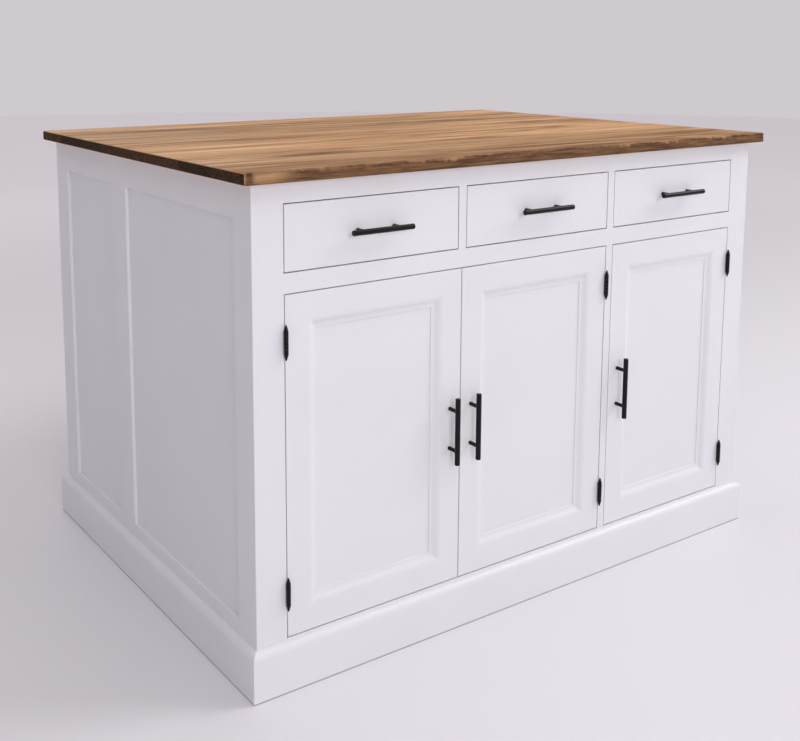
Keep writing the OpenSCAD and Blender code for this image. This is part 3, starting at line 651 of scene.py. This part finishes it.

# %% [markdown]
# ### Brushed and stained
#
# Brushing took the soft wood out of the front: shallow hollows in the face, and a corner that is
# worn away by a few millimetres, more here and less there. The stain then went deepest where the
# wood was rough, so it is a number per point, worked out beside the wear. A painted mask would do
# the same, but it couldn't follow the edge as closely. The stain covers the face and a ragged band
# over the corner, and fades over the top as a soft haze. Beside the left corner a dark patch is
# followed by a pale one. The same number also carries painted shade: the face is darker along its
# bottom edge, where the rounded lower corner faces down.

# %% Wear the front
HOLLOW_DEPTH, HOLLOW_REACH = 0.7 * MM, 4 * MM
HOLLOW_LENGTH, HOLLOW_HEIGHT = 45 * MM, 14 * MM
CORNER_DEPTH, LEAST_DEPTH, CORNER_REACH = 2.6 * MM, 0.4 * MM, 8 * MM
LONG_WAVE, SHORT_WAVE, NICK = 90 * MM, 18 * MM, 7 * MM
LONG_SWING, SHORT_SWING, NICK_SWING = 1.8 * MM, 0.8 * MM, 0.4 * MM
UNWORN_END = 25 * MM
SINK = 0.8  # how far the corner sinks, for each millimetre that it goes back


def wear(x, y, z):
    """What brushing took off the front: the hollows' depth in the face, and the upper corner's.

    A hollow is a mean depth times 1 + noise, and fades inwards. The corner's depth is a mean plus
    a long, a short and a fine noise, and fades inwards, downwards and towards both ends.
    """
    inwards, below = y - low.y, high.z - z
    hollow = HOLLOW_DEPTH * (1 + wave_noise(3, (x, HOLLOW_LENGTH), (z, HOLLOW_HEIGHT)))
    brushed = CORNER_DEPTH + LONG_SWING * wave_noise(5, (x, LONG_WAVE))
    brushed = brushed + SHORT_SWING * wave_noise(6, (x, SHORT_WAVE))
    brushed = brushed + NICK_SWING * wave_noise(7, (x, NICK), (z, NICK))
    near = fade(inwards, CORNER_REACH) * fade(below, CORNER_REACH)
    off_ends = 1 - fade(np.minimum(x - low.x, high.x - x), UNWORN_END)
    return hollow * fade(inwards, HOLLOW_REACH), near * brushed.clip(LEAST_DEPTH, None) * off_ends


print("corner worn by", round(CORNER_DEPTH / MM, 2), "mm on average")

# %% Stain the front, with painted shade along its bottom
BAND_WIDTH, BAND_LEAST, BAND_STRENGTH = 13 * MM, 5 * MM, 1.35
RAGGED = ((6 * MM, 8, 60 * MM), (3 * MM, 9, 12 * MM))  # swing of the width, seed, wave length
PATCH_AT, PATCH_REACH, PATCH_STAIN = 9 * MM, 8 * MM, 0.8
WOBBLE, WOBBLE_LENGTH = 3 * MM, 12 * MM
PALE_STAIN, PALE_FROM, PALE_TO = 0.32, 40 * MM, 110 * MM
# painted shade: these darken the bottom edge of the front face, where its round corner faces down
BOTTOM_SHADE_REACH, BOTTOM_SHADE = 3 * MM, 0.5
HAZE, HAZE_REACH = 0.55, 58 * MM
HAZE_SWING, HAZE_LENGTH, HAZE_WIDTH = 0.6, 150 * MM, 40 * MM
CLEAR_SHARE, CLEAR_FROM, CLEAR_TO = 0.6, 50 * MM, 120 * MM
TOP_EDGE, FACE_EDGE = 2 * MM, 5 * MM  # how far down the top ends, and the face begins


def stain_and_shade(x, y, z):
    """How dark the front's staining and painted shade make it, 0 to 1: band or haze, whichever
    is stronger at a point.

    The band's depth is a pale start, a step to full depth, the patch by the corner, and painted
    shade along the bottom edge.
    The haze is a slow noise that fades inwards, and is cleared off the face near the corner.
    """
    inwards, from_left = y - low.y, x - low.x
    width = BAND_WIDTH
    for swing, seed, length in RAGGED:
        width = width + swing * wave_noise(seed, (x, length))
    band = (BAND_STRENGTH - inwards / width.clip(BAND_LEAST, None)).clip(0, 1)
    wobble = WOBBLE * wave_noise(10, (z, WOBBLE_LENGTH), (y, WOBBLE_LENGTH))
    patch = PATCH_STAIN * fade(from_left - PATCH_AT + wobble, PATCH_REACH)
    depth = PALE_STAIN + (1 - PALE_STAIN) * step(from_left, PALE_FROM, PALE_TO) + patch
    # painted shade: darker along the bottom edge of the front face
    depth = depth + BOTTOM_SHADE * fade(z - low.z, BOTTOM_SHADE_REACH)
    cloud = 1 + HAZE_SWING * wave_noise(12, (x, HAZE_LENGTH), (y, HAZE_WIDTH))
    haze = HAZE * cloud * fade(inwards, HAZE_REACH)
    on_face = step(high.z - z, TOP_EDGE, FACE_EDGE)
    haze = haze * (1 - CLEAR_SHARE * on_face * (1 - step(from_left, CLEAR_FROM, CLEAR_TO)))
    return np.maximum(depth.clip(0, 1) * band, haze).clip(0, 1)


print("stained band", round(BAND_WIDTH / MM), "mm wide, haze", round(HAZE_REACH / MM), "mm")

# %% Carry the profiles along the worktop
FRONT_POINTS, OTHER_POINTS = 14, 4


def stave_rings(i):
    """Rings (m, n, 3) of stave i, and their staining with painted shade: its profile at each
    station, with the wear in front.

    At a rounded end the inset draws the outer edges in, and the height towards its middle.
    """
    front, rear = i == 0, i == STAVES - 1
    y0 = low.y + i * pitch + (0 if front else GLUE_LINE / 2)
    y1 = low.y + (i + 1) * pitch - (0 if rear else GLUE_LINE / 2)
    rounds = [EDGE_ROUND if outer else SEAM_ROUND for outer in (front, rear)]
    fine = FRONT_POINTS if front else OTHER_POINTS
    profile = stave_profile((y0, y1), (low.z, high.z), *rounds, fine)
    x, inset = stations(WEAR_STEP if front else PLAIN_STEP)
    shape = (len(x), len(profile))
    xs = np.broadcast_to(x[:, None], shape)
    ys, zs = (np.broadcast_to(profile[:, k], shape) for k in (0, 1))
    middle_z = (low.z + high.z) / 2
    zs = middle_z + (zs - middle_z) * (1 - inset[:, None] / (high.z - middle_z))
    edge = (ys < low.y + EDGE_ROUND) * 1.0 - (ys > high.y - EDGE_ROUND) * 1.0
    ys = ys + edge * inset[:, None]
    if front:
        hollow, corner = wear(xs, ys, zs)
        ys, zs = ys + hollow + corner, zs - SINK * corner
    return np.stack([xs, ys, zs], -1), stain_and_shade(xs, ys, zs)


staves, stain_and_shade_values = zip(*(stave_rings(i) for i in range(STAVES)))
print("front stave:", staves[0].shape[0], "rings of", staves[0].shape[1], "points")

# %% [markdown]
# ### Oak and its finish
#
# The oak is brushed, stained and oiled. Seen along the boards it has long pale and brown streaks
# that waver, fine dark pores, and a tone of its own in each stave. A photo of oak would repeat and
# would need unwrapping, while noise that is stretched along X fits every face at once. The
# brushed front took more stain, and the end grain took most: it is nearly black-brown and
# mottled. Every point of the staves carries two numbers that the finish reads: the tone of its
# stave, and how stained it is, with painted shade along the front's bottom edge. Real pores are a
# few tenths of a millimetre wide, and they are drawn a millimetre wide so that they show.

# %% Patterns of the oak
OAK_NOISES = {  # sizes along the grain, across it and in height, and the noise's own inputs
    "streaks": (640, 40, 40, {"Detail": 4.0, "Roughness": 0.55, "Distortion": 1.3}),
    "fine": (210, 11, 11, {"Detail": 2.0}),
    "pores": (26, 1.1, 1.1, {"Detail": 2.0}),
    "chips": (70, 6, 4, {"Detail": 4.0, "Roughness": 0.65}),
    "mottle": (30, 9, 5, {"Detail": 4.0, "Roughness": 0.7}),
}
OWN_PLACE = (7.1, 3.3, 5.7)  # metres by which the patterns of two staves can differ


def oak_patterns(tree, place, own):
    """The noises of the oak by name, at places that each stave shifts by its own number."""
    shift = add(tree, "VectorMath", {0: OWN_PLACE, "Scale": own}, operation="SCALE")
    place = add(tree, "VectorMath", {0: place, 1: shift})
    noises = {}
    for name, (*sizes, inputs) in OAK_NOISES.items():
        scale = scale_of([size * MM for size in sizes])
        board = add(tree, "Mapping", {"Vector": place, "Scale": scale})
        noises[name] = add(tree, "TexNoise", {"Vector": board, "Scale": 1.0, **inputs})
    return noises


print("oak patterns:", list(OAK_NOISES))

# %% Colours of the oak's long faces
PALE_OAK, MIDDLE_OAK, DARK_OAK = "#efc393", "#cc9d6d", "#926644"
DARK_FRONT, PALE_FRONT = "#4a3122", "#876140"
PALE_TO_MIDDLE, MIDDLE_TO_DARK = span(0.28, 0.52), span(0.50, 0.68)
STAVE_TONE, FINE_TONE = span(0.0, 1.0, 0.85, 1.12), span(0.3, 0.7, 1.08, 0.88)
PORE_TONE = span(0.34, 0.5, 0.84, 1.0)
DARK_TO_PALE_CHIPS = span(0.28, 0.74)


def long_face_colour(tree, noises, own, stain_and_shade_share):
    """Oak along the grain: three browns by streak, times three tones, under the front's staining
    and its painted shade.
    """
    middle = add(tree, "MapRange", {"Value": noises["streaks"], **PALE_TO_MIDDLE}, **SMOOTH)
    dark = add(tree, "MapRange", {"Value": noises["streaks"], **MIDDLE_TO_DARK}, **SMOOTH)
    light = add(tree, "MixRGB", {"Fac": middle, "Color1": PALE_OAK, "Color2": MIDDLE_OAK})
    body = add(tree, "MixRGB", {"Fac": dark, "Color1": light, "Color2": DARK_OAK})
    tones = ((own, STAVE_TONE), (noises["fine"], FINE_TONE), (noises["pores"], PORE_TONE))
    for value, tone in tones:
        share = add(tree, "MapRange", {"Value": value, **tone}, **SMOOTH)
        body = add(tree, "VectorMath", {0: body, "Scale": share}, operation="SCALE")
    chip = add(tree, "MapRange", {"Value": noises["chips"], **DARK_TO_PALE_CHIPS}, **SMOOTH)
    front = add(tree, "MixRGB", {"Fac": chip, "Color1": DARK_FRONT, "Color2": PALE_FRONT})
    return add(tree, "MixRGB", {"Fac": stain_and_shade_share, "Color1": body, "Color2": front})


print("long faces:", PALE_OAK, MIDDLE_OAK, DARK_OAK, "front:", DARK_FRONT, PALE_FRONT)

# %% [markdown]
# ### End grain
#
# At the worktop's ends the cut fibres drink the stain, so the end grain is almost black-brown and
# mottled, and each stave differs a little. The edge round it is rubbed pale, and that paler colour
# is also a painted highlight on the rounded edge. The ends could be given a material of their own,
# but then the border would be a hard line between faces. Here the direction of the surface
# decides: where it looks along X it is end grain, and where it turns, in the last few millimetres,
# it is the rubbed edge with its painted highlight.

# %% Colours of the end grain and its arris
# the arris colour is rubbed pale oak, and also a painted highlight on the rounded edge
DARK_END, PALE_END, WORN_ARRIS_AND_HIGHLIGHT = "#28190e", "#553920", "#b98f66"
END_MOTTLE, END_TONE = span(0.32, 0.72), span(0.0, 1.0, 0.6, 1.25)
ON_END = span(0.55, 0.85)  # by how far the face is turned towards the end, 0 to 1
ARRIS_START, ARRIS_STOP = span(0.2, 0.5, 0.0, 0.8), span(0.8, 0.95, 1.0, 0.0)
AT_END = span(high.x - 6 * MM, high.x - 3 * MM)


def with_end_grain(tree, colour, noises, own, coords):
    """The colour, with mottled dark end grain where a face looks along X, and a pale arris that is
    rubbed and also carries a painted highlight.

    Returns that colour, and the share of end grain.
    """
    mottle = add(tree, "MapRange", {"Value": noises["mottle"], **END_MOTTLE}, **SMOOTH)
    tone = add(tree, "MapRange", {"Value": own, **END_TONE}, **SMOOTH)
    end_grain = add(tree, "MixRGB", {"Fac": mottle, "Color1": DARK_END, "Color2": PALE_END})
    end_grain = add(tree, "VectorMath", {0: end_grain, "Scale": tone}, operation="SCALE")
    turned = add(tree, "SeparateXYZ", {0: coords.outputs["Normal"]}).outputs["X"]
    facing = add(tree, "Math", {0: turned}, operation="ABSOLUTE")
    along = add(tree, "SeparateXYZ", {0: coords.outputs["Object"]}).outputs["X"]
    off_middle = add(tree, "Math", {0: along}, operation="ABSOLUTE")
    on_end = add(tree, "MapRange", {"Value": facing, **ON_END}, **SMOOTH)
    # the arris mask: rubbed wood, with a painted highlight where the edge turns
    rubbed_and_lit = add(tree, "MapRange", {"Value": facing, **ARRIS_START}, **SMOOTH)
    for value, limits in ((facing, ARRIS_STOP), (off_middle, AT_END)):
        share = add(tree, "MapRange", {"Value": value, **limits}, **SMOOTH)
        rubbed_and_lit = add(tree, "Math", {0: rubbed_and_lit, 1: share}, operation="MULTIPLY")
    colour = add(tree, "MixRGB", {"Fac": on_end, "Color1": colour, "Color2": end_grain})
    colour = add(tree, "MixRGB", {"Fac": rubbed_and_lit, "Color1": colour, "Color2": WORN_ARRIS_AND_HIGHLIGHT})
    return colour, on_end


print("end grain:", DARK_END, PALE_END, "arris:", WORN_ARRIS_AND_HIGHLIGHT)

# %% Make the oak
OAK_SHINE, OAK_GLOSS, STAINED_ROUGHNESS = 0.27, (0.46, 0.62), 0.9
PORE_DEPTH, STREAK_DEPTH, CHIP_DEPTH = 0.12 * MM, 0.5 * MM, 1.6 * MM


def oiled_oak(name):
    """Brushed, stained and oiled oak, grain along X, duller where stained or on end grain."""
    material, tree, shader = blank(name)
    coords = add(tree, "TexCoord")
    own = add(tree, "Attribute", attribute_name="stave").outputs["Fac"]
    stain_and_shade_share = add(tree, "Attribute", attribute_name="stain_and_shade").outputs["Fac"]
    noises = oak_patterns(tree, coords.outputs["Object"], own)
    colour = long_face_colour(tree, noises, own, stain_and_shade_share)
    colour, on_end = with_end_grain(tree, colour, noises, own, coords)

    dull = add(tree, "Math", {0: stain_and_shade_share, 1: on_end}, operation="MAXIMUM")
    gloss = add(tree, "MapRange", {"Value": noises["streaks"], **span(0.0, 1.0, *OAK_GLOSS)})
    dulled = span(0.0, 1.0, gloss, STAINED_ROUGHNESS)
    brushed = add(tree, "Bump", {"Height": noises["pores"], "Distance": PORE_DEPTH})
    waves = {"Height": noises["streaks"], "Distance": STREAK_DEPTH, "Normal": brushed}
    hacks = {
        "Height": noises["chips"],
        "Distance": CHIP_DEPTH,
        "Strength": stain_and_shade_share,
        "Normal": add(tree, "Bump", waves),
    }
    look = {
        "Base Color": colour,
        "Roughness": add(tree, "MapRange", {"Value": dull, **dulled}),
        "Normal": add(tree, "Bump", hacks),
        "Specular IOR Level": OAK_SHINE,
    }
    feed(tree, shader, look)
    return material


OAK = oiled_oak("oiled_oak")
print("oak:", len(OAK.node_tree.nodes), "nodes")

# %% Build the worktop
stave_tones = np.random.default_rng(11).permutation(STAVES) / (STAVES - 1)
worktop = make_piece("oak_staves", staves, OAK, "carcass")
end_middles = [0.0, 0.0]  # the middle points of a stave's two ends come after its rings
numbers = {
    "stave": [np.full(one.size + 2, tone) for one, tone in zip(stain_and_shade_values, stave_tones)],
    "stain_and_shade": [np.append(one.ravel(), end_middles) for one in stain_and_shade_values],
}
for key, values in numbers.items():
    attribute = worktop.data.attributes.new(key, "FLOAT", "POINT")
    attribute.data.foreach_set("value", np.concatenate(values).astype(np.float32))
worktop.modifiers.new("flat_faces", "WEIGHTED_NORMAL")
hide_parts("worktop")
print("stave tones:", stave_tones.round(2).tolist())

# %% [markdown]
# ## Screws and catches
#
# These show when a door or drawer is open. A screw head's recess could be cut out with a boolean,
# but that leaves ragged faces. Here a head is a disc whose height depends on radius and angle: a
# dome, less a cross-shaped recess. It is made once, and stood on each spot along the face's own
# direction. The spots are worked out from the boxes of the hinges, handles, catches and plates.

# %% Draw a screw head and a small plate
SPOKES = 32
ROOT = 0.3 * MM  # how far a small part goes into the face that it stands on
HEAD_RADII = (1, 1, 0.94, 0.84, 0.72, 0.6, 0.5, 0.4, 0.3, 0.2, 0.1)  # shares of the full radius
CROSS_SIDE = (0.1, 0.9)  # cos 4a at the upper and the lower edge of an arm's side
CROSS_TIP, CROSS_HEART = (0.66, 0.56), (0.34, 0.24)  # shares where the recess starts and is full
around = np.linspace(0, 2 * np.pi, SPOKES, endpoint=False)[None, :]


def screw_head(radius, rim, dome, recess):
    """Rings of a head: from its root up to the rim, then in over the dome and its cross.

    At share s of the radius its height is rim + dome (1 - s²), less the recess in the cross, which
    is where cos 4a is large and s is small, and all round near the middle.
    """
    share = np.array(HEAD_RADII)[:, None]
    cross = step(np.cos(4 * around), *CROSS_SIDE) * step(share, *CROSS_TIP)
    cross = np.maximum(cross, step(share, *CROSS_HEART))
    height = rim + dome * (1 - share**2) - recess * cross
    height[0] = -ROOT
    r = radius * share
    return np.stack([r * np.cos(around), r * np.sin(around), height], -1)


def small_plate(width, height, thick, corner):
    """Rings of a plate |x / a|⁴ + |y / b|⁴ = 1, from its root up, drawn in a little at its face."""
    c, s = np.cos(around), np.sin(around)
    x, y = np.sign(c) * np.sqrt(np.abs(c)), np.sign(s) * np.sqrt(np.abs(s))
    inset = np.array([0, 0, 1])[:, None] * corner
    level = np.array([-ROOT, thick - corner, thick])[:, None] + 0 * around
    return np.stack([x * (width / 2 - inset), y * (height / 2 - inset), level], -1)


print("a screw head has", len(HEAD_RADII), "rings of", SPOKES, "points")


# %% Stand a small part on a face
def corners(name):
    """The lowest and the highest corner of a built piece's box, as one array."""
    return np.array([tuple(corner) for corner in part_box(name)])


def middle(name):
    """The middle of a built piece's box."""
    return corners(name).mean(0)


def stand(rings, spot, facing):
    """Rings moved so that their height runs along facing from spot: p = spot + u U + v V + w W."""
    w = np.array(facing, float)
    v = np.array([0.0, 0.0, 1.0]) if abs(w[2]) < 0.5 else np.array([0.0, 1.0, 0.0])
    axes = np.stack([np.cross(v, w), v, w])
    return np.array(spot) + rings @ axes


print("the catches are in the box", corners("magnet_catches").round(4).tolist())

# %% [markdown]
# ### Hinge screws
#
# Each leaf of a butt hinge is let into the wood and held by two countersunk screws, whose heads lie
# almost flush and have the hinge's own black coat. The screws of one leaf stay with the frame and
# those of the other swing with the door, so there is a piece for every door and one for the frame.

# %% Put in the hinge screws
DOOR_NAMES = ("door_1", "door_2", "door_3")
LEAF_HEIGHT, LEAF_GAP = 38 * MM, 0.5 * MM
SCREW_INSET, SCREW_RISE = 7.5 * MM, 11 * MM  # from a leaf's rear edge, and from its middle
flat_head = screw_head(radius=2.7 * MM, rim=0.1 * MM, dome=0.03 * MM, recess=0.08 * MM)


def leaf_screws(door, side):
    """The screws of one leaf of each of a door's two hinges.

    The leaf is on that side of the gap, -1 for left and 1 for right, and faces back across it.
    """
    bottom, top = corners(f"{door}_hinge_leaves")
    x = (bottom[0] + top[0]) / 2 + side * LEAF_GAP / 2
    leaf_middles = bottom[2] + LEAF_HEIGHT / 2, top[2] - LEAF_HEIGHT / 2
    levels = [z + rise for z in leaf_middles for rise in (-SCREW_RISE, SCREW_RISE)]
    return [stand(flat_head, (x, top[1] - SCREW_INSET, z), (-side, 0, 0)) for z in levels]


frame_screws = []
for door in DOOR_NAMES:
    side = 1 if middle(f"{door}_hinge_leaves")[0] > middle(f"{door}_stiles")[0] else -1
    frame_screws += leaf_screws(door, side)
    door_screws = leaf_screws(door, -side)
    make_piece(f"{door}_hinge_screws", door_screws, BLACK_COAT, door)
make_piece("frame_hinge_screws", frame_screws, BLACK_COAT, "carcass")

# %% [markdown]
# ### Handle screws
#
# A handle is held from behind by a screw through the door or drawer front into each post. Behind
# the front only its domed head shows, and it moves with the handle. The posts are spread along the
# handle's longest way, which is upright on a door and level on a drawer.

# %% Put on the handle screws' heads
DRAWER_NAMES = ("drawer_1", "drawer_2", "drawer_3")
POST_REACH = 38 * MM  # from the handle's middle to each post
domed_head = screw_head(radius=3.9 * MM, rim=0.35 * MM, dome=0.75 * MM, recess=0.8 * MM)
for body in (*DOOR_NAMES, *DRAWER_NAMES):
    bottom, top = corners(f"{body}_handle")
    behind = middle(f"{body}_handle")
    behind[1] = top[1]
    reach = POST_REACH * np.eye(3)[np.argmax(top - bottom)]
    heads = [stand(domed_head, behind + way * reach, (0, 1, 0)) for way in (-1, 1)]
    make_piece(f"{body}_handle_screw_heads", heads, BLACK_COAT, body)

# %% [markdown]
# ### Catches
#
# A magnetic catch has two steel poles that look out of its case, and it is screwed to the deck
# above from below. On the door sits the plate that they pull, with one screw. The poles are thin
# plates with soft corners, because a plain box would catch the light with hard edges.

# %% Fit out the catches
CATCH_SCREW_REACH, POLE_RISE = 14 * MM, 3 * MM  # from the middle of the case
pole = small_plate(width=30 * MM, height=1.8 * MM, thick=0.2 * MM, corner=0.05 * MM)
plate_screw = screw_head(radius=2.4 * MM, rim=0.06 * MM, dome=0.02 * MM, recess=0.05 * MM)
catch_screw = screw_head(radius=2.8 * MM, rim=0.3 * MM, dome=0.6 * MM, recess=0.6 * MM)
plate_x = [middle(f"{door}_strike")[0] for door in DOOR_NAMES]
_, case_front, case_foot = corners("magnet_catches")[0]
_, case_y, case_z = middle("magnet_catches")

poles = [
    stand(pole, (x, case_front, case_z + rise), (0, -1, 0))
    for x in plate_x
    for rise in (-POLE_RISE, POLE_RISE)
]
make_piece("catch_poles", poles, ZINC, "carcass")
screws = [
    stand(catch_screw, (x + reach, case_y, case_foot), (0, 0, -1))
    for x in plate_x
    for reach in (-CATCH_SCREW_REACH, CATCH_SCREW_REACH)
]
make_piece("catch_screws", screws, ZINC, "carcass")
for door in DOOR_NAMES:
    x, _, z = middle(f"{door}_strike")
    plate_face = corners(f"{door}_strike")[1][1]
    head = stand(plate_screw, (x, plate_face, z), (0, 1, 0))
    make_piece(f"{door}_plate_screw", [head], ZINC, door)

# %% [markdown]
# ## Size
#
# The dressed island must be as big as the built one.
